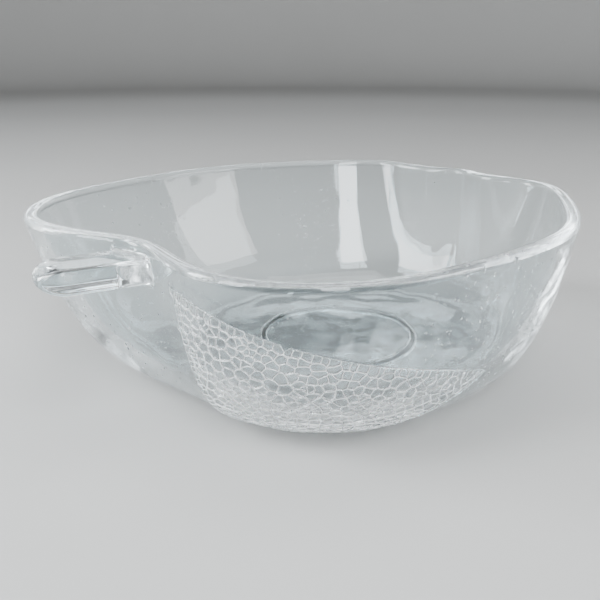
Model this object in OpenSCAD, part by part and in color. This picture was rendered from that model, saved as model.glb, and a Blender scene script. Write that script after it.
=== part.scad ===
// Serving bowl of clear glass, moulded as half an apple: an apple outline at the rim,
// a solid stem for a handle, a veined leaf under the stem and a ring foot.
// +X points to the stem and +Z up. The origin is the centre of the foot, on the table.

/* [Bowl] */
// Height from the table to the top of the rim
bowl_height = 78; // [65:1:95]
// Mean radius of the rim's outline
rim_radius = 125; // [110:1:140]
// Thickness of the wall at the rim
wall = 6; // [4:0.5:8]
// Distance of the outline's own centre from the foot's centre, towards the stem
overhang = 12; // [0:1:20]
// How far the outline is longer than wide, as a share of its radius
lengthening = 0.09; // [0:0.01:0.12]
// How far the outline narrows from the stem end to the blossom end, as a share
tapering = 0.06; // [0:0.01:0.08]
// How straight the two sides run, as a share of the radius
straightening = 0.03; // [0:0.01:0.04]
// Steepness of the wall: its height is this power of its reach
steepness = 4.2; // [3:0.1:5]

/* [Notches] */
// Depth of the notch under the stem
stem_notch = 18.5; // [5:0.5:20]
// Half width of the stem's notch, in degrees
stem_notch_width = 20; // [15:1:25]
// Depth of the hollow at the blossom end
blossom_notch = 30; // [0:1:32]
// Half width of the blossom's hollow, in degrees
blossom_notch_width = 16; // [12:1:20]
// Angle of the blossom's two dips from the middle of the end, in degrees
blossom_dips = 7; // [0:1:8]

/* [Foot and floor] */
// Radius of the flat underside
base_radius = 54; // [46:1:60]
// Outer radius of the foot ring
foot_radius = 41; // [30:1:44]
// Width of the foot ring
foot_width = 4; // [3:0.5:8]
// Height of the foot ring
foot_height = 2; // [1:0.5:4]
// Radius of the flat floor inside the bowl
floor_radius = 52; // [44:1:54]
// Thickness of the floor
floor_thickness = 6; // [4:0.5:8]
// Steepness of the inner wall
inner_steepness = 4; // [3.4:0.1:4.4]

/* [Stem] */
// Length of the stem from the notch to its tip
stem_length = 38; // [25:1:50]
// Width of the stem
stem_width = 21; // [14:0.5:24]
// Thickness of the stem
stem_thickness = 10; // [6:0.5:11]
// Depth of the stem's top below the rim
stem_drop = 5; // [5:0.5:12]
// Lean of the stem away from the leaf, in degrees
stem_lean = 18; // [0:1:22]

/* [Leaf] */
// Thickness of the leaf on the wall
leaf_thickness = 1.5; // [0.8:0.1:2]
// Angle from the stem at which the leaf starts, in degrees
leaf_start = 15; // [14:1:20]
// Angle from the stem at which the leaf ends in its tip, in degrees
leaf_end = 80; // [60:1:90]
// Height of the leaf's upper corner, as a share of the wall's reach
leaf_top = 0.975; // [0.9:0.005:0.98]
// Place of the leaf's lower corner, as a share of the wall's reach
leaf_bottom = 0.27; // [0.25:0.01:0.5]
// Place of the leaf's tip, as a share of the wall's reach
leaf_tip = 0.78; // [0.6:0.01:0.85]

/* [Hidden] */
glass = [0.83, 0.88, 0.90];
seams = 120;                       // steps round the bowl
turn = 360 / seams;
outer_rows = 16;
inner_rows = 14;
row_crowding = 0.6;                // under 1, the rows lie closer together towards the rim
lip_steps = 8;
nudge = 0.1;                       // small step, in degrees, that finds the outline's direction
blossom_softness = 3;              // rounds the crest between the blossom's two dips
lip_height = wall / 2;
seam_z = bowl_height - lip_height; // where the rounded lip starts
floor_z = foot_height + floor_thickness;
leaf_columns = 26;
leaf_rows = 12;
leaf_bow = 1.25;                   // how the leaf's edges bow towards its tip
leaf_tip_gap = 0.01;               // half width left at the leaf's tip, as a share of the wall's reach
stem_tip = 12;                     // length over which the stem rounds off
stem_sections = 9;                 // sections along that round tip
stem_tip_sweep = 84;               // degrees of the tip's round, up to its small flat end
stem_steps = 13;                   // steps along the straight part of the bar
stem_points = 40;                  // points round one section
stem_squareness = 4.5;             // power of the section's rounded corners
tip_power_wide = 2.4;              // power of the tip's round seen from above
tip_power_high = 2;                // power of the tip's round seen from the side
stem_buried = 14;                  // how far the bar starts inside the wall
root_flare = 1.5;                  // growth of the bar's half thickness at its root
root_fade = 5;                     // how soon that flare dies away
root_span = 9;                     // steps of the wall on each side that meet the stem
root_row = 9;                      // lowest row of the wall that meets the stem

// ---- the apple outline ----

function bell(angle, width) = exp(-pow(angle / width, 2));

// distance in degrees from the middle of the blossom end, never quite zero
function from_blossom(a) = norm([180 - abs(a > 180 ? a - 360 : a), blossom_softness]);

function outline_radius(a, depth) =
    rim_radius * (1 + lengthening * cos(2 * a) - tapering * cos(3 * a) - straightening * cos(5 * a))
    - depth * stem_notch * bell(a > 180 ? a - 360 : a, stem_notch_width)
    - depth * blossom_notch * bell(from_blossom(a) - blossom_dips, blossom_notch_width);

function outline_point(a, depth) = outline_radius(a, depth) * [cos(a), sin(a)] + [overhang, 0];

// the outline, moved in by inset square to itself
function outline(a, inset, depth) =
    let (along = outline_point(a + nudge, depth) - outline_point(a - nudge, depth))
    outline_point(a, depth) - inset * [along.y, -along.x] / norm(along);

// ---- the wall: reach runs from 0 at the flat base to 1 at the seam under the lip ----

function wall_point(a, reach, inset, flat_radius, low_z, power) =
    let (xy = (1 - reach) * flat_radius * [cos(a), sin(a)] + reach * outline(a, inset, reach * reach))
    [xy.x, xy.y, low_z + (seam_z - low_z) * pow(reach, power)];

function outer_point(a, reach) = wall_point(a, reach, 0, base_radius, foot_height, steepness);
function inner_point(a, reach) = wall_point(a, reach, wall, floor_radius, floor_z, inner_steepness);

function outer_reach(row) = pow(row / outer_rows, row_crowding);
function inner_reach(row) = pow(row / inner_rows, row_crowding);

function outer_normal(a, reach) =
    let (n = cross(outer_point(a + nudge, reach) - outer_point(a - nudge, reach),
                   outer_point(a, reach + nudge / 10) - outer_point(a, reach - nudge / 10)))
    n / norm(n);

// ---- faces between rings of n points each ----

function band(from, to, n) = [
    for (j = [0 : n - 1], half = [0, 1])
        let (k = (j + 1) % n)
        half == 0 ? [from + j, to + j, to + k] : [from + j, to + k, from + k]
];

function bands(rings, n) = [for (i = [0 : rings - 2]) each band(i * n, (i + 1) * n, n)];

// ---- sub-parts ----

module bowl_body() {
    rings = concat(
        [for (i = [0 : outer_rows]) [for (j = [0 : seams - 1]) outer_point(j * turn, outer_reach(i))]],
        [for (i = [inner_rows : -1 : 0]) [for (j = [0 : seams - 1]) inner_point(j * turn, inner_reach(i))]]
    );
    last = (len(rings) - 1) * seams;
    color(glass)
    polyhedron(
        points = [for (ring = rings) each ring],
        faces = concat(
            bands(len(rings), seams),
            [[for (j = [0 : seams - 1]) j]],
            [[for (j = [seams - 1 : -1 : 0]) last + j]]
        )
    );
}

// half-round bead that finishes the wall, standing on the seam
module rim_lip() {
    function lip_point(a, turned) =
        let (xy = outline(a, wall / 2 * (1 - cos(turned)), 1))
        [xy.x, xy.y, seam_z + lip_height * sin(turned)];
    rings = [for (i = [0 : lip_steps]) [for (j = [0 : seams - 1]) lip_point(j * turn, i * 180 / lip_steps)]];
    color(glass)
    polyhedron(
        points = [for (ring = rings) each ring],
        faces = concat(bands(lip_steps + 1, seams), band(lip_steps * seams, 0, seams))
    );
}

// the wall's outer facets at the notch, as a block that trims the stem's root to them
module root_block() {
    columns = 2 * root_span + 1;
    points_across = 2 * columns;
    function column_angle(i) = (i - root_span) * turn;
    rings = [
        for (row = [root_row : outer_rows])
            concat(
                [for (i = [0 : columns - 1]) outer_point(column_angle(i), outer_reach(row))],
                [for (i = [columns - 1 : -1 : 0])
                    outer_point(column_angle(i), outer_reach(row)) - [2 * stem_buried, 0, 0]]
            )
    ];
    last = (len(rings) - 1) * points_across;
    polyhedron(
        points = [for (ring = rings) each ring],
        faces = concat(
            bands(len(rings), points_across),
            [[for (j = [0 : points_across - 1]) j]],
            [[for (j = [points_across - 1 : -1 : 0]) last + j]]
        )
    );
}

// a bar with rounded edges and a blunt round tip, level and leaning away from the leaf
module stem_bar() {
    straight = stem_length - stem_tip;
    stations = concat(
        [for (i = [0 : stem_steps]) -stem_buried + (stem_buried + straight) * i / stem_steps],
        [for (i = [1 : stem_sections]) straight + stem_tip * sin(i * stem_tip_sweep / stem_sections)]
    );
    function rounding(s, power) = pow(1 - pow(max(0, (s - straight) / stem_tip), power), 1 / power);
    function half_width(s) = stem_width / 2 * rounding(s, tip_power_wide);
    function half_height(s) =
        stem_thickness / 2 * rounding(s, tip_power_high) + root_flare * bell(max(s, 0), root_fade);
    function corner(v) = sign(v) * pow(abs(v), 2 / stem_squareness);
    rings = [
        for (s = stations) [
            for (j = [0 : stem_points - 1])
                let (t = j * 360 / stem_points)
                [s, half_width(s) * corner(cos(t)), half_height(s) * corner(sin(t))]
        ]
    ];
    last = (len(rings) - 1) * stem_points;
    translate([outline_point(0, 1).x, 0, bowl_height - stem_drop - stem_thickness / 2])
        rotate(-stem_lean)
            polyhedron(
                points = [for (ring = rings) each ring],
                faces = concat(
                    bands(len(rings), stem_points),
                    [[for (j = [0 : stem_points - 1]) j]],
                    [[for (j = [stem_points - 1 : -1 : 0]) last + j]]
                )
            );
}

module stem_handle() {
    color(glass)
    difference() {
        stem_bar();
        root_block();
    }
}

// leaf laid on the outside of the wall; its veins are surface relief
module leaf_panel() {
    across = 2 * (leaf_rows + 1);
    function leaf_angle(s) = leaf_start + (leaf_end - leaf_start) * s;
    function upper_edge(s) = leaf_top - (leaf_top - leaf_tip - leaf_tip_gap) * pow(s, leaf_bow);
    function lower_edge(s) = leaf_bottom + (leaf_tip - leaf_bottom - leaf_tip_gap) * pow(s, leaf_bow);
    function leaf_reach(s, t) = lower_edge(s) + (upper_edge(s) - lower_edge(s)) * t;
    function leaf_point(s, t, lift) =
        let (a = leaf_angle(s), reach = leaf_reach(s, t))
        outer_point(a, reach) + lift * outer_normal(a, reach);
    rings = [
        for (i = [0 : leaf_columns])
            concat(
                [for (j = [0 : leaf_rows]) leaf_point(i / leaf_columns, j / leaf_rows, 0)],
                [for (j = [leaf_rows : -1 : 0]) leaf_point(i / leaf_columns, j / leaf_rows, leaf_thickness)]
            )
    ];
    function end_strip(first, flip) = [
        for (j = [0 : leaf_rows - 1], half = [0, 1])
            let (
                a = first + j,
                b = first + j + 1,
                c = first + across - 2 - j,
                d = first + across - 1 - j,
                face = half == 0 ? [a, b, c] : [a, c, d]
            )
            flip ? [face[2], face[1], face[0]] : face
    ];
    color(glass)
    polyhedron(
        points = [for (ring = rings) each ring],
        faces = concat(
            bands(leaf_columns + 1, across),
            end_strip(0, false),
            end_strip(leaf_columns * across, true)
        )
    );
}

// ring the bowl stands on, with a flat tread and eased edges
module foot_ring() {
    ease = foot_width / 5;
    inside = foot_radius - foot_width;
    color(glass)
    rotate_extrude($fn = 144)
        polygon([
            [inside, foot_height],
            [inside + ease / 2, ease],
            [inside + ease * 1.5, 0],
            [foot_radius - ease * 1.5, 0],
            [foot_radius - ease / 2, ease],
            [foot_radius, foot_height]
        ]);
}

bowl_body();
rim_lip();
stem_handle();
leaf_panel();
foot_ring();
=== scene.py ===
"""Looks of the apple-shaped glass bowl: five fused pieces of clear glass on a pale studio floor.

Every size is in metres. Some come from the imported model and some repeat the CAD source, and those
of the finer shapes are this script's own. Pieces are closed meshes. Where two of them are fused,
both carry the `fused` material, which lets light straight through, so the bowl looks like one piece
of glass. The lamps and the room's window are what the glass shows.
"""

import math

import bpy
import numpy as np
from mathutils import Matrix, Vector


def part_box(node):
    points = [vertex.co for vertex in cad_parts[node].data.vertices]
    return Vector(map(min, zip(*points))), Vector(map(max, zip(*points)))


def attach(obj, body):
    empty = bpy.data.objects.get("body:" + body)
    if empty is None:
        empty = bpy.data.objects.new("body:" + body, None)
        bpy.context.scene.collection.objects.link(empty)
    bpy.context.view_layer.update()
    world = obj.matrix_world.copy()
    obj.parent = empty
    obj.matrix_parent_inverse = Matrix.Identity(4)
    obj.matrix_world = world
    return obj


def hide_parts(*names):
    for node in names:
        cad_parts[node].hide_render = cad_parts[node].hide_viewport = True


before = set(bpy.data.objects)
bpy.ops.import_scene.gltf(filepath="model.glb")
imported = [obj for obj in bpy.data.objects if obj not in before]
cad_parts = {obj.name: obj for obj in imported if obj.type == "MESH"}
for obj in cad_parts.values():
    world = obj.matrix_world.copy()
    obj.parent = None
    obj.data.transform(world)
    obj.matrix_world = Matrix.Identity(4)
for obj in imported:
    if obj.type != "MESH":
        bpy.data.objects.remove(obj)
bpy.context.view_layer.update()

MM = 0.001

# ---- the design's own numbers, as in the CAD source ----

RIM_RADIUS = 125 * MM
OVERHANG = 12 * MM
WALL = 6 * MM
LENGTHENING, TAPERING, STRAIGHTENING = 0.09, 0.06, 0.03
STEEPNESS, INNER_STEEPNESS = 4.2, 4.0
STEM_NOTCH, STEM_NOTCH_WIDTH = 18.5 * MM, 20.0
BLOSSOM_NOTCH, BLOSSOM_NOTCH_WIDTH, BLOSSOM_DIPS = 30 * MM, 16.0, 7.0
BLOSSOM_SOFTNESS = 3.0
BASE_RADIUS, FLOOR_RADIUS = 54 * MM, 52 * MM
FLOOR_THICKNESS = 6 * MM
FOOT_WIDTH = 4 * MM

RIM_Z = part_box("rim_lip")[1].z
SEAM_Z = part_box("bowl_body")[1].z
FOOT_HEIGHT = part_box("foot_ring")[1].z
FOOT_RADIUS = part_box("foot_ring")[1].x
FLOOR_Z = FOOT_HEIGHT + FLOOR_THICKNESS

STEM_LENGTH, STEM_WIDTH, STEM_THICKNESS = 38 * MM, 21 * MM, 10 * MM
STEM_DROP = 5 * MM
STEM_LEAN = math.radians(18)

LEAF_START, LEAF_END = 15.0, 80.0
LEAF_TOP, LEAF_BOTTOM, LEAF_TIP = 0.975, 0.27, 0.78
LEAF_BOW = 1.25


# ---- the apple outline and the wall ----


def bell(angle, width):
    return np.exp(-((angle / width) ** 2))


def signed(a):
    return (a + 180) % 360 - 180


def outline_point(a, depth):
    """Point of the rim's outline at a degrees from the stem; depth scales the notches."""
    r = np.radians(a)
    from_blossom = np.hypot(180 - np.abs(signed(a)), BLOSSOM_SOFTNESS) - BLOSSOM_DIPS
    radius = RIM_RADIUS * (
        1
        + LENGTHENING * np.cos(2 * r)
        - TAPERING * np.cos(3 * r)
        - STRAIGHTENING * np.cos(5 * r)
    )
    radius = radius - depth * STEM_NOTCH * bell(signed(a), STEM_NOTCH_WIDTH)
    radius = radius - depth * BLOSSOM_NOTCH * bell(from_blossom, BLOSSOM_NOTCH_WIDTH)
    return np.stack([radius * np.cos(r) + OVERHANG, radius * np.sin(r)], -1)


def outline(a, inset, depth):
    """The outline moved in by inset, square to itself."""
    along = outline_point(a + 0.1, depth) - outline_point(a - 0.1, depth)
    along = along / np.linalg.norm(along, axis=-1, keepdims=True)
    out = np.stack([along[..., 1], -along[..., 0]], -1)
    return outline_point(a, depth) - np.asarray(inset)[..., None] * out


def wall_point(a, reach, inset, flat_radius, low_z, power):
    a, reach = np.broadcast_arrays(np.asarray(a, float), np.asarray(reach, float))
    r = np.radians(a)
    base = flat_radius * np.stack([np.cos(r), np.sin(r)], -1)
    xy = (1 - reach)[..., None] * base + reach[..., None] * outline(a, inset, reach**2)
    z = low_z + (SEAM_Z - low_z) * reach**power
    return np.concatenate([xy, z[..., None]], -1)


def outer_point(a, reach):
    return wall_point(a, reach, 0.0, BASE_RADIUS, FOOT_HEIGHT, STEEPNESS)


def inner_point(a, reach):
    return wall_point(a, reach, WALL, FLOOR_RADIUS, FLOOR_Z, INNER_STEEPNESS)


def outer_normal(a, reach):
    n = np.cross(
        outer_point(a + 0.3, reach) - outer_point(a - 0.3, reach),
        outer_point(a, reach + 0.005) - outer_point(a, reach - 0.005),
    )
    return n / np.linalg.norm(n, axis=-1, keepdims=True)


def even_rows(count, flat_radius, low_z, power):
    """Reaches from 0 to 1 that cut the wall's profile into steps of equal length."""
    g = np.linspace(0, 1, 4001)
    across = flat_radius + (RIM_RADIUS - flat_radius) * g
    up = low_z + (SEAM_Z - low_z) * g**power
    length = np.concatenate([[0], np.cumsum(np.hypot(np.diff(across), np.diff(up)))])
    return np.interp(np.linspace(0, length[-1], count + 1), length, g)


# Columns round the bowl: close together at the stem and the leaf, wider elsewhere
FINE_FROM, FINE_TO, FINE_STEP, COARSE_STEP = -16.0, 86.0, 0.4, 1.2
COARSE_COUNT = int((360 + FINE_FROM - FINE_TO) / COARSE_STEP)
COLUMNS = np.concatenate(
    [
        np.arange(FINE_FROM, FINE_TO, FINE_STEP),
        np.linspace(FINE_TO, FINE_FROM + 360, COARSE_COUNT, endpoint=False),
    ]
)
OUTER_ROWS = even_rows(104, BASE_RADIUS, FOOT_HEIGHT, STEEPNESS)
INNER_ROWS = even_rows(84, FLOOR_RADIUS, FLOOR_Z, INNER_STEEPNESS)


# ---- the leaf's place on the wall ----


def leaf_place(a, reach):
    """Place of a wall point on the leaf: s from the stem side to the tip, t from lower to upper edge."""
    s = (signed(a) - LEAF_START) / (LEAF_END - LEAF_START)
    bow = np.clip(s, 0, 1) ** LEAF_BOW
    upper = LEAF_TOP - (LEAF_TOP - LEAF_TIP) * bow
    lower = LEAF_BOTTOM + (LEAF_TIP - LEAF_BOTTOM) * bow
    t = (reach - lower) / np.maximum(upper - lower, 1e-6)
    return s, t


def on_leaf(a, reach):
    s, t = leaf_place(a, reach)
    return (s > 0) & (s < 1) & (t > 0) & (t < 1)


# ---- mesh helpers ----


def add_mesh(name, points, faces, materials, slots, crease=28):
    """A smooth-shaded mesh object from arrays of quads and triangles. slots gives each face's material."""
    sizes = [np.full(len(f), f.shape[1]) for f in faces]
    corners = np.concatenate([f.ravel() for f in faces])
    total = np.concatenate(sizes)
    mesh = bpy.data.meshes.new(name)
    mesh.vertices.add(len(points))
    mesh.vertices.foreach_set("co", np.ascontiguousarray(points, np.float32).ravel())
    mesh.loops.add(len(corners))
    mesh.loops.foreach_set("vertex_index", corners.astype(np.int32))
    mesh.polygons.add(len(total))
    mesh.polygons.foreach_set("loop_start", np.concatenate([[0], np.cumsum(total)[:-1]]).astype(np.int32))
    mesh.polygons.foreach_set("material_index", np.concatenate(slots).astype(np.int32))
    mesh.update(calc_edges=True)
    mesh.validate()
    mesh.shade_smooth()
    mesh.set_sharp_from_angle(angle=math.radians(crease))
    for material in materials:
        mesh.materials.append(material)
    piece = bpy.data.objects.new(name, mesh)
    bpy.context.scene.collection.objects.link(piece)
    return piece


def ring_bands(rings, columns, wrap=False):
    """Quads between neighbouring rings, as an array of rings by columns by 4."""
    count = rings if wrap else rings - 1
    i = np.arange(count)[:, None]
    j = np.arange(columns)[None, :]
    k = (j + 1) % columns
    up = (i + 1) % rings
    return np.stack([i * columns + j, i * columns + k, up * columns + k, up * columns + j], -1)


def capped_tube(name, rings, band_slots, materials, cap_slots):
    """Closed mesh through a stack of rings, with a fan at each end. band_slots is rings-1 by columns."""
    count, columns = rings.shape[:2]
    first, last = rings[0].mean(0), rings[-1].mean(0)
    points = np.concatenate([rings.reshape(-1, 3), [first, last]])
    quads = ring_bands(count, columns)
    j = np.arange(columns)
    k = (j + 1) % columns
    low = np.stack([np.full(columns, count * columns), k, j], -1)
    top = (count - 1) * columns
    high = np.stack([top + j, top + k, np.full(columns, count * columns + 1)], -1)
    faces = [quads.reshape(-1, 4), np.concatenate([low, high])]
    slots = [band_slots.ravel(), np.repeat(cap_slots, columns)]
    return add_mesh(name, points, faces, materials, slots)


CLEAR, FUSED = 0, 1


# ---- the stem's bar ----

STEM_FILLET = 2.4 * MM
STEM_CORNER = 2.1 * MM
STEM_TIP = 10.5 * MM
TIP_POWER_SIDE, TIP_POWER_UP = 2.3, 1.9
CORNER_POINTS, SIDE_POINTS, END_POINTS = 11, 22, 12
NOTCH = outline_point(np.array(0.0), 1.0)
STEM_ROOT = np.array([NOTCH[0], 0, RIM_Z - STEM_DROP - STEM_THICKNESS / 2])
STEM_ALONG = np.array([math.cos(STEM_LEAN), -math.sin(STEM_LEAN), 0])
STEM_SIDE = np.array([math.sin(STEM_LEAN), math.cos(STEM_LEAN), 0])
STEM_UP = np.array([0, 0, 1.0])


def rounded_rectangle():
    """Unit rectangle with round corners: each point's place on the core and its outward direction."""
    core, out = [], []
    for quarter in range(4):
        turn = quarter * math.pi / 2
        corner = [(1, 1), (-1, 1), (-1, -1), (1, -1)][quarter]
        for theta in turn + np.linspace(0, math.pi / 2, CORNER_POINTS):
            core.append(corner)
            out.append([math.cos(theta), math.sin(theta)])
        for share in np.linspace(1, -1, END_POINTS if quarter % 2 else SIDE_POINTS)[1:-1]:
            # Each share scales the place before it, so the points of a side crowd at its middle
            last = np.array(core[-1], float)
            last[quarter % 2] *= share
            core.append(last)
            out.append(out[-1])
    return np.array(core), np.array(out)


SECTION_CORE, SECTION_OUT = rounded_rectangle()
STEM_POINTS = len(SECTION_CORE)


def stem_section(grow, shrink_side=1.0, shrink_up=1.0):
    """Sideways and upward offsets of the bar's section, grown square to itself."""
    half = np.stack([STEM_WIDTH / 2 * shrink_side, STEM_THICKNESS / 2 * shrink_up], -1)
    half = half * np.ones((STEM_POINTS, 2))
    round_by = np.minimum(STEM_CORNER, 0.97 * half.min(-1))[..., None]
    offsets = SECTION_CORE * (half - round_by) + SECTION_OUT * (round_by + np.reshape(grow, (-1, 1)))
    return offsets[:, 0], offsets[:, 1]


def reach_at(z):
    return np.clip((z - FOOT_HEIGHT) / (SEAM_Z - FOOT_HEIGHT), 0, 1) ** (1 / STEEPNESS)


def wall_along_stem(side, up):
    """How far along the stem's axis the wall's outer face lies, for offsets from that axis."""
    reach = reach_at(STEM_ROOT[2] + up)
    a, s = np.degrees(side / NOTCH[0]), np.zeros_like(side)
    for _ in range(12):
        goal = STEM_ROOT[:2] + s[..., None] * STEM_ALONG[:2] + side[..., None] * STEM_SIDE[:2]
        here = outer_point(a, reach)[..., :2]
        turn = (outer_point(a + 0.05, reach) - outer_point(a - 0.05, reach))[..., :2] / 0.1
        miss = here - goal
        det = STEM_ALONG[0] * turn[..., 1] - STEM_ALONG[1] * turn[..., 0]
        a = a + np.clip((STEM_ALONG[1] * miss[..., 0] - STEM_ALONG[0] * miss[..., 1]) / det, -3, 3)
        s = s + (turn[..., 1] * miss[..., 0] - turn[..., 0] * miss[..., 1]) / det
    return s


def stem_points_at(s, side, up):
    offsets = side[..., None] * STEM_SIDE + up[..., None] * STEM_UP
    return STEM_ROOT + s[..., None] * STEM_ALONG + offsets


# ---- materials ----


def new_material(name):
    material = bpy.data.materials.new(name)
    material.use_nodes = True
    tree = material.node_tree
    tree.nodes.clear()
    out = tree.nodes.new("ShaderNodeOutputMaterial")
    return material, tree, out


def noise(tree, place, scale, detail=2.0, roughness=0.5):
    made = tree.nodes.new("ShaderNodeTexNoise")
    made.inputs["Scale"].default_value = scale
    made.inputs["Detail"].default_value = detail
    made.inputs["Roughness"].default_value = roughness
    tree.links.new(place, made.inputs["Vector"])
    return made.outputs["Fac"]


def stretched(tree, value, from_low, from_high, to_low, to_high):
    made = tree.nodes.new("ShaderNodeMapRange")
    tree.links.new(value, made.inputs["Value"])
    made.inputs["From Min"].default_value = from_low
    made.inputs["From Max"].default_value = from_high
    made.inputs["To Min"].default_value = to_low
    made.inputs["To Max"].default_value = to_high
    return made.outputs["Result"]


def bumped(tree, height, distance, normal=None):
    made = tree.nodes.new("ShaderNodeBump")
    made.inputs["Distance"].default_value = distance
    tree.links.new(height, made.inputs["Height"])
    if normal is not None:
        tree.links.new(normal, made.inputs["Normal"])
    return made.outputs["Normal"]


def combined(tree, operation, first, second):
    made = tree.nodes.new("ShaderNodeMath")
    made.operation = operation
    tree.links.new(first, made.inputs[0])
    tree.links.new(second, made.inputs[1])
    return made.outputs[0]


def times(tree, first, second):
    return combined(tree, "MULTIPLY", first, second)


def plus(tree, first, second):
    return combined(tree, "ADD", first, second)


GLASS_IOR = 1.5
DUST_HEIGHT = 0.00012


def glass(name, tint, rough, ripple, grain, clearness=1.0):
    """Glass with slow ripples from the mould, smudges in its gloss, fine grain and specks of dust."""
    material, tree, out = new_material(name)
    shader = tree.nodes.new("ShaderNodeBsdfPrincipled")
    shader.inputs["Base Color"].default_value = (*tint, 1)
    shader.inputs["Transmission Weight"].default_value = clearness
    shader.inputs["IOR"].default_value = GLASS_IOR
    place = tree.nodes.new("ShaderNodeTexCoord").outputs["Object"]
    smudges = stretched(tree, noise(tree, place, 26, 4, 0.6), 0.4, 0.75, *rough)
    specks = stretched(tree, noise(tree, place, 520, 1, 0.3), 0.72, 0.76, 0, 1)
    patches = stretched(tree, noise(tree, place, 14, 2, 0.5), 0.48, 0.62, 0, 1)
    dust = times(tree, specks, patches)
    hazed = stretched(tree, dust, 0, 1, 0, 0.45)
    tree.links.new(plus(tree, smudges, hazed), shader.inputs["Roughness"])
    normal = bumped(tree, noise(tree, place, 45, 1, 0.4), ripple)
    normal = bumped(tree, noise(tree, place, 900, 2, 0.5), grain, normal)
    normal = bumped(tree, dust, DUST_HEIGHT, normal)
    tree.links.new(normal, shader.inputs["Normal"])
    tree.links.new(shader.outputs[0], out.inputs["Surface"])
    return material


def fused_material():
    """The faces where two pieces are melted together: nothing to see."""
    material, tree, out = new_material("fused_joint")
    clear = tree.nodes.new("ShaderNodeBsdfTransparent")
    tree.links.new(clear.outputs[0], out.inputs["Surface"])
    return material


CLEAR_TINT = (0.89, 0.94, 0.955)
clear_glass = glass("clear_glass", CLEAR_TINT, (0.0, 0.03), 0.0003, 0.000004)
polished_glass = glass("polished_glass", CLEAR_TINT, (0.0, 0.02), 0.00005, 0.000002)
veined_glass = glass("veined_glass", (0.93, 0.95, 0.955), (0.1, 0.22), 0.0001, 0.00002)
vein_glass = glass("vein_glass", (0.97, 0.98, 0.98), (0.3, 0.4), 0.0001, 0.00003, clearness=0.72)
fused = fused_material()
GLASS = [clear_glass, fused]
POLISHED = [polished_glass, fused]


# ---- pieces ----


def level_ring(radius, z):
    r = np.radians(COLUMNS)
    return np.stack([radius * np.cos(r), radius * np.sin(r), np.full_like(r, z)], -1)


def in_stem_root(points, margin):
    """True where the stem's foot, grown by its fillet, covers the wall, a margin inside its border."""
    offset = points - STEM_ROOT
    side, up = np.abs(offset @ STEM_SIDE), np.abs(offset @ STEM_UP)
    corner = STEM_CORNER + STEM_FILLET - margin
    over_side = np.maximum(side - STEM_WIDTH / 2 + STEM_CORNER, 0)
    over_up = np.maximum(up - STEM_THICKNESS / 2 + STEM_CORNER, 0)
    near = np.abs(offset @ STEM_ALONG) < 20 * MM
    return near & (np.hypot(over_side, over_up) < corner)


def bowl_body():
    """Wall and floor, from the middle of the underside out, over the seam and down to the floor."""
    inside = FOOT_RADIUS - FOOT_WIDTH
    under = [1 * MM, 6 * MM, 14 * MM, 22 * MM, 30 * MM, inside, FOOT_RADIUS, 45 * MM, 50 * MM]
    floor = [47 * MM, 40 * MM, 30 * MM, 20 * MM, 10 * MM, 4 * MM, 1 * MM]
    outer = outer_point(COLUMNS[None, :], OUTER_ROWS[:, None])
    inner = inner_point(COLUMNS[None, :], INNER_ROWS[::-1, None])
    rings = np.concatenate(
        [
            np.array([level_ring(r, FOOT_HEIGHT) for r in under]),
            outer,
            inner,
            np.array([level_ring(r, FLOOR_Z) for r in floor]),
        ]
    )
    slots = np.full((len(rings) - 1, len(COLUMNS)), CLEAR)
    slots[under.index(inside)] = FUSED
    first = len(under)
    seam = first + len(OUTER_ROWS) - 1
    slots[seam] = FUSED
    a, reach = np.broadcast_arrays(COLUMNS[None, :], OUTER_ROWS[:, None])
    covered = in_stem_root(outer, 0.3 * MM) | leaf_covers(a, reach)
    right = np.roll(covered, -1, axis=1)
    whole = covered[:-1] & right[:-1] & covered[1:] & right[1:]
    slots[first:seam][whole] = FUSED
    return capped_tube("bowl_body_glass", rings, slots, GLASS, [CLEAR, CLEAR])


def rim_lip():
    """Bead on the seam, round at its edges and flatter on top; its flat underside is fused to the wall."""
    squareness = 2.7
    height = RIM_Z - SEAM_Z
    rings = []
    for angle in np.linspace(0, math.pi, 27):
        across = math.copysign(abs(math.cos(angle)) ** (2 / squareness), math.cos(angle))
        xy = outline(COLUMNS, WALL / 2 * (1 - across), 1.0)
        z = np.full(len(COLUMNS), SEAM_Z + height * abs(math.sin(angle)) ** (2 / squareness))
        rings.append(np.column_stack([xy, z]))
    rings = np.array(rings)
    quads = ring_bands(len(rings), len(COLUMNS), wrap=True)
    slots = np.full(quads.shape[:2], CLEAR)
    slots[-1] = FUSED
    points, faces = rings.reshape(-1, 3), [quads.reshape(-1, 4)]
    return add_mesh("rim_lip_glass", points, faces, POLISHED, [slots.ravel()])


def foot_ring():
    """Ring with a flat tread and rounded edges, fused to the underside by its top."""
    inside = FOOT_RADIUS - FOOT_WIDTH
    ease = 1.2 * MM
    quarter = np.linspace(0, math.pi / 2, 7)
    section = [(inside, FOOT_HEIGHT)]
    section += [(inside + ease - ease * math.cos(q), ease - ease * math.sin(q)) for q in quarter]
    section += [(FOOT_RADIUS - ease + ease * math.sin(q), ease - ease * math.cos(q)) for q in quarter]
    section += [(FOOT_RADIUS, FOOT_HEIGHT)]
    rings = np.array([level_ring(r, z) for r, z in section])
    quads = ring_bands(len(rings), len(COLUMNS), wrap=True)
    slots = np.full(quads.shape[:2], CLEAR)
    slots[-1] = FUSED
    points, faces = rings.reshape(-1, 3), [quads.reshape(-1, 4)]
    return add_mesh("foot_ring_glass", points, faces, GLASS, [slots.ravel()])


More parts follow.
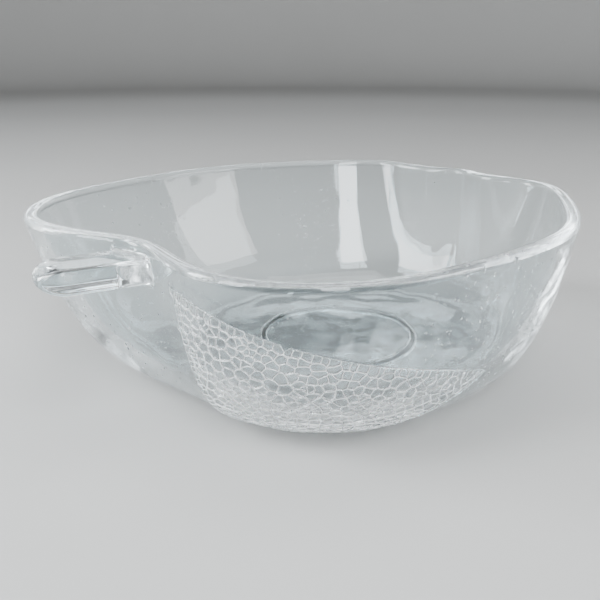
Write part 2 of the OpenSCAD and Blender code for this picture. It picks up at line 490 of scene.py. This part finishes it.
def stem_handle():
    """Solid bar that flows out of the notch with a small fillet and ends in a blunt round tip."""
    root = wall_along_stem(*stem_section(STEM_FILLET))
    rings, slots = [], []
    for share in (0.15, 0.4, 0.6, 0.8, 0.93):
        side, up = (share * v for v in stem_section(STEM_FILLET))
        rings.append(stem_points_at(wall_along_stem(side, up), side, up))
        slots.append(FUSED)
    steps = np.concatenate([np.linspace(0, 1, 12, endpoint=False) ** 1.5 * 0.12, np.linspace(0.12, 1, 60)])
    end = STEM_LENGTH - 0.02 * MM
    for step in steps:
        s = root + (end - root) * step
        off_wall = np.clip(s - root, 0, STEM_FILLET)
        grow = STEM_FILLET - np.sqrt(STEM_FILLET**2 - (STEM_FILLET - off_wall) ** 2)
        into_tip = np.clip((s - STEM_LENGTH + STEM_TIP) / STEM_TIP, 0, 1)
        shrink_side = (1 - into_tip**TIP_POWER_SIDE) ** (1 / TIP_POWER_SIDE)
        shrink_up = (1 - into_tip**TIP_POWER_UP) ** (1 / TIP_POWER_UP)
        side, up = stem_section(grow, shrink_side, shrink_up)
        rings.append(stem_points_at(s, side, up))
        slots.append(CLEAR)
    rings = np.array(rings)
    band_slots = np.repeat(np.array(slots[:-1])[:, None], STEM_POINTS, 1)
    return capped_tube("stem_handle_glass", rings, band_slots, POLISHED, [FUSED, CLEAR])


# ---- the leaf: a net of raised veins with polygons between them ----

CELL_SIZE = 4.4 * MM
LEAF_BASE = 0.55 * MM
VEIN_HEIGHT = 0.62 * MM
# Half of a vein's section: distance from its ridge in mm, height as a share; and the most of a
# polygon's room that each step may take
VEIN_SHAPE = [(0.0, 1.0), (0.08, 0.86), (0.16, 0.5), (0.27, 0.18), (0.42, 0.04), (0.68, 0.0)]
MOST_OF_ROOM = (0.12, 0.25, 0.4, 0.55, 0.7)
EDGE_STEP = 0.68 * MM
TIP_FADE = (0.6, 0.92)

LEAF_MIDDLE = (LEAF_START + LEAF_END) / 2
PROFILE_REACH = np.linspace(0.1, 1.0, 1201)
PROFILE = outer_point(LEAF_MIDDLE, PROFILE_REACH)
PROFILE_UP = np.concatenate([[0], np.cumsum(np.linalg.norm(np.diff(PROFILE, axis=0), axis=1))])
PROFILE_RADIUS = np.hypot(PROFILE[:, 0], PROFILE[:, 1])


def flatten(a, reach):
    """The wall rolled out flat around the leaf's middle."""
    across = np.radians(signed(a) - LEAF_MIDDLE) * np.interp(reach, PROFILE_REACH, PROFILE_RADIUS)
    return np.stack([across, np.interp(reach, PROFILE_REACH, PROFILE_UP)], -1)


def unflatten(flat):
    reach = np.interp(flat[..., 1], PROFILE_UP, PROFILE_REACH)
    return LEAF_MIDDLE + np.degrees(flat[..., 0] / np.interp(reach, PROFILE_REACH, PROFILE_RADIUS)), reach


def from_leaf_place(s, t):
    bow = np.clip(s, 0, 1) ** LEAF_BOW
    upper = LEAF_TOP - (LEAF_TOP - LEAF_TIP) * bow
    lower = LEAF_BOTTOM + (LEAF_TIP - LEAF_BOTTOM) * bow
    return flatten(LEAF_START + (LEAF_END - LEAF_START) * s, lower + (upper - lower) * t)


def main_veins():
    """Midrib and side veins of the leaf, each a pair of ends given by their places on the leaf."""
    veins = [((0.02, 0.62), (0.45, 0.5)), ((0.45, 0.5), (0.93, 0.5))]
    veins += [((s, 0.5 + 0.12 * (1 - s)), (s + 0.17, 0.82)) for s in (0.06, 0.24, 0.44)]
    veins += [((s, 0.5), (s + 0.15, 0.16)) for s in (0.03, 0.2, 0.38, 0.58)]
    return [(from_leaf_place(*start), from_leaf_place(*end)) for start, end in veins]


def leaf_outline():
    """The leaf's left, upper and lower edges, each as points from one end to the other."""
    along = np.linspace(0, 0.97, 200)
    left = np.array([from_leaf_place(0.0, t) for t in np.linspace(0.02, 0.98, 100)])
    return [left] + [np.array([from_leaf_place(s, t) for s in along]) for t in (1.0, 0.0)]


def twin_seeds(path, step, offset, taken, clear, uneven=0.0):
    """Pairs of seeds on both sides of a path, so that their polygons meet along it."""
    random = np.random.default_rng(3)
    pairs = []
    length = np.concatenate([[0], np.cumsum(np.linalg.norm(np.diff(path, axis=0), axis=1))])
    spots = np.arange(0.5 * step, length[-1], step)
    for spot in spots + random.uniform(-uneven, uneven, len(spots)) * step:
        here, ahead = (
            np.array([np.interp(d, length, path[:, k]) for k in (0, 1)]) for d in (spot, spot + 0.1 * MM)
        )
        if (ahead == here).all() or (len(taken) and squared_distances(here[None], taken).min() < clear**2):
            continue
        along = (ahead - here) / np.linalg.norm(ahead - here)
        square = np.array([-along[1], along[0]]) * offset
        pairs.append(np.array([here + square, here - square]))
    return np.concatenate(pairs) if pairs else np.zeros((0, 2))


def squared_distances(points, others):
    return ((points[:, None] - others[None]) ** 2).sum(-1)


def leaf_seeds():
    """Centres of the polygons on and around the leaf, which are its own, and how many lie on main veins."""
    random = np.random.default_rng(7)
    corners = flatten(*np.meshgrid([LEAF_START - 7, LEAF_END + 7], [0.14, 0.998])).reshape(-1, 2)
    low, high = corners.min(0), corners.max(0)
    grid = np.meshgrid(np.arange(low[0], high[0], MM), np.arange(low[1], high[1], MM))
    grid = np.stack(grid, -1).reshape(-1, 2)
    a, _ = unflatten(grid)
    grid = grid[(a > LEAF_START - 9) & (a < LEAF_END + 9)]
    count = int(len(grid) * MM**2 / CELL_SIZE**2)
    seeds = grid[random.choice(len(grid), count, replace=False)]
    edge_pairs = vein_pairs = np.zeros((0, 2))
    for path in leaf_outline():
        more = twin_seeds(path, 0.8 * CELL_SIZE, 0.34 * CELL_SIZE, edge_pairs, 0.5 * CELL_SIZE, 0.35)
        edge_pairs = np.concatenate([edge_pairs, more])
    for start, end in main_veins():
        taken = np.concatenate([edge_pairs, vein_pairs])
        more = twin_seeds(np.linspace(start, end, 50), CELL_SIZE, 0.42 * CELL_SIZE, taken, 0.75 * CELL_SIZE)
        vein_pairs = np.concatenate([vein_pairs, more])
    pairs = np.concatenate([vein_pairs, edge_pairs])
    seeds = seeds[squared_distances(seeds, pairs).min(1) > (0.5 * CELL_SIZE) ** 2]
    seeds = np.concatenate([pairs, seeds])
    for _ in range(5):
        nearest = squared_distances(grid, seeds).argmin(1)
        sums = np.stack([np.bincount(nearest, grid[:, k], len(seeds)) for k in (0, 1)], -1)
        centres = sums / np.maximum(np.bincount(nearest, minlength=len(seeds)), 1)[:, None]
        seeds[len(pairs) :] += 0.5 * (centres - seeds)[len(pairs) :]
    return seeds, on_leaf(*unflatten(seeds)), len(vein_pairs)


SEEDS, OWN, PAIRED = leaf_seeds()


def leaf_covers(a, reach):
    """True where the leaf covers the wall, a little inside its border."""
    s, t = leaf_place(a, reach)
    near = (s > -0.15) & (s < 1.15) & (reach > 0.16)
    covers = np.zeros(near.shape, bool)
    squared = squared_distances(flatten(a[near], reach[near]), SEEDS)
    mine, other = squared[:, OWN], squared[:, ~OWN]
    apart = np.linalg.norm(SEEDS[OWN][mine.argmin(1)] - SEEDS[~OWN][other.argmin(1)], axis=-1)
    covers[near] = (other.min(1) - mine.min(1)) / (2 * apart) > 0.35 * MM
    return covers


def tip_fade(flat):
    """1 over most of the leaf, falling towards 0 at its tip."""
    s, _ = leaf_place(*unflatten(flat))
    return 1 - np.clip((s - TIP_FADE[0]) / (TIP_FADE[1] - TIP_FADE[0]), 0, 1)


def clip(polygon, middle, outward, label):
    """Cut a convex polygon, a list of corner and the label of the side after it, with a half plane."""
    kept = []
    for k, (p, side) in enumerate(polygon):
        q = polygon[(k + 1) % len(polygon)][0]
        at_p, at_q = (p - middle) @ outward, (q - middle) @ outward
        crossing = p + (q - p) * at_p / (at_p - at_q) if (at_p <= 0) != (at_q <= 0) else None
        if at_p <= 0:
            kept.append((p, side))
            if crossing is not None:
                kept.append((crossing, label))
        elif crossing is not None:
            kept.append((crossing, side))
    return kept


def cell_polygon(i):
    """Corners of polygon i and, for each, the neighbour beyond the side that starts there."""
    reach = 4 * CELL_SIZE
    square = [SEEDS[i] + reach * np.array(c) for c in ((-1, -1), (1, -1), (1, 1), (-1, 1))]
    polygon = [(corner, -1 - k) for k, corner in enumerate(square)]
    for j in np.argsort(((SEEDS - SEEDS[i]) ** 2).sum(-1))[1:36]:
        polygon = clip(polygon, (SEEDS[i] + SEEDS[j]) / 2, SEEDS[j] - SEEDS[i], int(j))
    return polygon


class VeinNet:
    """Border points of the polygons, each stored once, with its bend and the height of the vein there."""

    EDGE_STRENGTH, MAIN_STRENGTH, CORNER_STRENGTH = 0.3, 1.4, 1.05

    def __init__(self):
        self.straight, self.bend, self.lift = [], [], []
        self.corners, self.sides = {}, {}

    def add(self, straight, bend, lift):
        self.straight.append(straight)
        self.bend.append(bend)
        self.lift.append(lift)
        return len(self.straight) - 1

    def corner(self, key, place):
        if key not in self.corners:
            inside = all(OWN[list(key)])
            strength = self.CORNER_STRENGTH if inside else self.EDGE_STRENGTH
            strength *= 0.3 + 0.7 * tip_fade(place)
            self.corners[key] = self.add(place, np.zeros(2), LEAF_BASE + VEIN_HEIGHT * strength)
        return self.corners[key]

    def side(self, i, j, start, end):
        """Border points between two corners of polygon i, from start to end, without the corners."""
        key = (min(i, j), max(i, j))
        if key not in self.sides:
            p, q = np.array(self.straight[start]), np.array(self.straight[end])
            steps = max(1, round(np.linalg.norm(q - p) / EDGE_STEP))
            random = np.random.default_rng(key)
            bow = random.normal(0, 0.07) * np.array([p[1] - q[1], q[0] - p[0]])
            paired = key[1] < PAIRED and key[0] % 2 == 0 and key[1] == key[0] + 1
            strength = self.MAIN_STRENGTH if paired else random.uniform(0.6, 1.15)
            if not (OWN[i] and OWN[j]):
                bow, strength = bow * 0.5, self.EDGE_STRENGTH
            strength *= 0.3 + 0.7 * tip_fade((p + q) / 2)
            made = []
            for share in np.arange(1, steps) / steps:
                wave = math.sin(math.pi * share)
                made.append(self.add(p + (q - p) * share, bow * wave, LEAF_BASE + VEIN_HEIGHT * strength))
            self.sides[key] = (start, made)
        first, made = self.sides[key]
        return made if first == start else made[::-1]


def leaf_panel():
    net = VeinNet()
    loops = {}
    outer_sides = []
    for i in np.nonzero(OWN)[0]:
        polygon = cell_polygon(int(i))
        labels = [label for _, label in polygon]
        ids = [
            net.corner(tuple(sorted((int(i), labels[k - 1], labels[k]))), corner)
            for k, (corner, _) in enumerate(polygon)
        ]
        loop = []
        for k, j in enumerate(labels):
            start, end = ids[k], ids[(k + 1) % len(ids)]
            piece = [start, *net.side(int(i), j, start, end), end]
            loop += piece[:-1]
            if not OWN[j]:
                outer_sides += list(zip(piece[:-1], piece[1:]))
        loops[int(i)] = (np.array(loop), np.array([corner for corner, _ in polygon]))

    straight, bend, lift = (np.array(v) for v in (net.straight, net.bend, net.lift))
    border_count = len(straight)
    flats = [straight + bend, straight + bend]
    lifts = [lift, np.zeros(border_count)]
    total = 2 * border_count
    quads, triangles, quad_slots, triangle_slots = [], [], [], []
    for i, (loop, corners) in loops.items():
        random = np.random.default_rng((11, i))
        level = LEAF_BASE * random.uniform(0.8, 1.15)
        dome, tilt = random.normal(0, 0.06) * MM, random.normal(0, 0.014, 2)
        centre = corners.mean(0)
        sides = np.roll(corners, -1, 0) - corners
        inward = np.stack([-sides[:, 1], sides[:, 0]], -1) / np.linalg.norm(sides, axis=1)[:, None]
        depth = ((straight[loop][:, None] - corners[None]) * inward[None]).sum(-1)
        centre_depth = ((centre - corners) * inward).sum(-1)
        room = centre_depth.min()
        before = loop
        frosted_rings = 2 if tip_fade(centre) > random.uniform(0, 0.9) else 0
        between = 0 if tip_fade(centre) > random.uniform(0, 0.6) else 3
        steps = [(min(d * MM, room * f), shape) for (d, shape), f in zip(VEIN_SHAPE[1:], MOST_OF_ROOM)]
        steps.append((room * 0.86, 0.0))
        for number, (d, shape) in enumerate(steps):
            share = np.clip((d - depth) / np.maximum(centre_depth - depth, 1e-9), 0, 1).max(1)[:, None]
            flat = straight[loop] * (1 - share) + centre * share + bend[loop] * (1 - d / room)
            hollow = dome * (1 - (1 - d / room) ** 2) + ((flat - centre) @ tilt) * (1 - shape)
            flats.append(flat)
            lifts.append(level + (lift[loop] - level) * shape + hollow * (1 - shape))
            ring = total + np.arange(len(loop))
            total += len(loop)
            quads.append(np.stack([before, np.roll(before, -1), np.roll(ring, -1), ring], -1))
            quad_slots.append(np.full(len(loop), 1 if number < frosted_rings else between))
            before = ring
        flats.append(np.array([centre, centre]))
        lifts.append(np.array([level + dome, 0]))
        ends = np.full(len(loop), total)
        triangles.append(np.stack([before, np.roll(before, -1), ends], -1))
        triangle_slots.append(np.full(len(loop), between))
        back = loop + border_count
        triangles.append(np.stack([np.roll(back, -1), back, ends + 1], -1))
        triangle_slots.append(np.full(len(loop), 2))
        total += 2
    p, q = np.array(outer_sides).T
    quads.append(np.stack([q, p, p + border_count, q + border_count], -1))
    quad_slots.append(np.full(len(p), 0))

    a, reach = unflatten(np.concatenate(flats))
    points = outer_point(a, reach) + outer_normal(a, reach) * np.concatenate(lifts)[:, None]
    faces = [np.concatenate(quads), np.concatenate(triangles)]
    slots = [np.concatenate(quad_slots), np.concatenate(triangle_slots)]
    materials = [veined_glass, vein_glass, fused, clear_glass]
    return add_mesh("leaf_panel_glass", points, faces, materials, slots, crease=60)


def put_together():
    made = {
        "bowl_body": (bowl_body(), "clear_glass"),
        "rim_lip": (rim_lip(), "clear_glass"),
        "stem_handle": (stem_handle(), "clear_glass"),
        "leaf_panel": (leaf_panel(), "veined_glass"),
        "foot_ring": (foot_ring(), "clear_glass"),
    }
    for name, (piece, slot) in made.items():
        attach(piece, "root")
        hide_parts(name)


put_together()


# ---- studio ----


def floor_material():
    """Matt pale paper with the faintest clouds and grain."""
    material, tree, out = new_material("studio_floor")
    shader = tree.nodes.new("ShaderNodeBsdfPrincipled")
    place = tree.nodes.new("ShaderNodeTexCoord").outputs["Object"]
    ramp = tree.nodes.new("ShaderNodeValToRGB")
    ramp.color_ramp.elements[0].color = (0.485, 0.48, 0.47, 1)
    ramp.color_ramp.elements[1].color = (0.525, 0.52, 0.51, 1)
    tree.links.new(noise(tree, place, 3, 3, 0.5), ramp.inputs["Fac"])
    tree.links.new(ramp.outputs["Color"], shader.inputs["Base Color"])
    tree.links.new(bumped(tree, noise(tree, place, 700, 2, 0.6), 0.00003), shader.inputs["Normal"])
    shader.inputs["Roughness"].default_value = 0.75
    tree.links.new(shader.outputs[0], out.inputs["Surface"])
    return material


def make_floor():
    """Round floor whose edge sweeps up into a low backdrop."""
    flat, sweep, columns = 1.8, 0.3, 96
    turn = np.linspace(0, math.pi / 2, 13)
    radii = np.concatenate([[0.3, 0.8, 1.3], flat + sweep * np.sin(turn)])
    heights = np.concatenate([[0, 0, 0], sweep * (1 - np.cos(turn))])
    around_z = np.linspace(0, 2 * math.pi, columns, endpoint=False)
    circle = np.stack([np.cos(around_z), np.sin(around_z)], -1)
    rings = np.stack([np.column_stack([r * circle, np.full(columns, z)]) for r, z in zip(radii, heights)])
    points = np.concatenate([rings.reshape(-1, 3), [[0, 0, 0]]])
    j = np.arange(columns)
    middle = np.stack([j, (j + 1) % columns, np.full(columns, len(points) - 1)], -1)
    quads = ring_bands(len(rings), columns).reshape(-1, 4)[:, ::-1]
    slots = [np.zeros(len(quads)), np.zeros(columns)]
    add_mesh("studio_floor", points, [quads, middle], [floor_material()], slots)


def add_softbox(name, place, target, size, power, tint=(1, 1, 1)):
    data = bpy.data.lights.new(name, "AREA")
    data.shape = "RECTANGLE"
    data.size, data.size_y = size
    data.energy = power
    data.color = tint
    lamp = bpy.data.objects.new(name, data)
    lamp.location = place
    lamp.rotation_mode = "QUATERNION"
    lamp.rotation_quaternion = (Vector(target) - Vector(place)).to_track_quat("-Z", "Y")
    lamp.visible_camera = False
    bpy.context.scene.collection.objects.link(lamp)
    return lamp


DAYLIGHT = (0.93, 0.97, 1.0)
# Each pane's lower and upper edge, as the sine of its height above the horizon
WINDOW_PANES = [(0.13, 0.2), (0.24, 0.32), (0.38, 0.52)]
PANE_EDGE = 0.015
WINDOW_MIDDLE = -115
ROOM_GLOW, WINDOW_GLOW, BACKDROP_GLOW = 0.02, 2.3, 0.3


def make_world():
    """Dark room with a long window of three panes low behind the bowl. Seen directly it is plain and pale."""
    world = bpy.data.worlds.new("studio")
    world.use_nodes = True
    tree = world.node_tree
    place = tree.nodes.new("ShaderNodeTexCoord").outputs["Generated"]
    behind = tree.nodes.new("ShaderNodeVectorMath")
    behind.operation = "DOT_PRODUCT"
    tree.links.new(place, behind.inputs[0])
    behind.inputs[1].default_value = around(WINDOW_MIDDLE, 0, 1)
    split = tree.nodes.new("ShaderNodeSeparateXYZ")
    tree.links.new(place, split.inputs[0])
    height = split.outputs["Z"]
    panes = None
    for sill, lintel in WINDOW_PANES:
        above = stretched(tree, height, sill, sill + PANE_EDGE, 0, 1)
        below = stretched(tree, height, lintel - PANE_EDGE, lintel, 1, 0)
        pane = times(tree, above, below)
        panes = pane if panes is None else plus(tree, panes, pane)
    sides = stretched(tree, behind.outputs["Value"], 0.1, 0.25, 0, 1)
    window = times(tree, panes, sides)
    glow = stretched(tree, window, 0, 1, ROOM_GLOW, WINDOW_GLOW)
    seen = tree.nodes.new("ShaderNodeLightPath").outputs["Is Camera Ray"]
    plain = stretched(tree, seen, 0, 1, 0, BACKDROP_GLOW)
    strength = plus(tree, times(tree, glow, stretched(tree, seen, 0, 1, 1, 0)), plain)
    background = tree.nodes["Background"]
    background.inputs["Color"].default_value = (*DAYLIGHT, 1)
    tree.links.new(strength, background.inputs["Strength"])
    bpy.context.scene.world = world


def around(azimuth, elevation, distance):
    a, e = math.radians(azimuth), math.radians(elevation)
    level = distance * math.cos(e)
    return (level * math.cos(a), level * math.sin(a), distance * math.sin(e))


def make_studio():
    make_world()
    centre = (0, 0, 0.05)
    add_softbox("ceiling_softbox", (0, 0, 2.6), (0, 0, 0), (6, 6), 18)
    add_softbox("overhead_softbox", (-0.15, 0.1, 1.3), centre, (0.7, 0.7), 3.5)
    add_softbox("window_strip_1", around(57, 34, 1.3), centre, (0.36, 1.1), 15, DAYLIGHT)
    add_softbox("window_strip_2", around(-15, 26, 1.3), centre, (0.46, 1.1), 18, DAYLIGHT)
    add_softbox("window_strip_3", around(-47, 20, 1.3), centre, (0.3, 0.85), 11, DAYLIGHT)
    add_softbox("side_softbox", around(112, 24, 1.2), centre, (0.75, 0.45), 5)


def make_camera():
    data = bpy.data.cameras.new("camera")
    data.lens = 49.9
    data.sensor_width = 36
    data.clip_start = 0.01
    camera = bpy.data.objects.new("camera", data)
    camera.location = (0.2952, 0.2536, 0.1553)
    camera.rotation_mode = "QUATERNION"
    camera.rotation_quaternion = Vector((-0.6882, -0.6533, -0.3155)).to_track_quat("-Z", "Y")
    bpy.context.scene.collection.objects.link(camera)
    bpy.context.scene.camera = camera


make_floor()
make_studio()
make_camera()

bpy.context.scene.view_settings.look = "AgX - Medium High Contrast"

# Light that is trapped in the rim or the stem needs many bounces to get out: with fewer they go black
BOUNCES = 80
cycles = bpy.context.scene.cycles
cycles.max_bounces = BOUNCES
cycles.transmission_bounces = BOUNCES
cycles.glossy_bounces = BOUNCES
cycles.transparent_max_bounces = BOUNCES
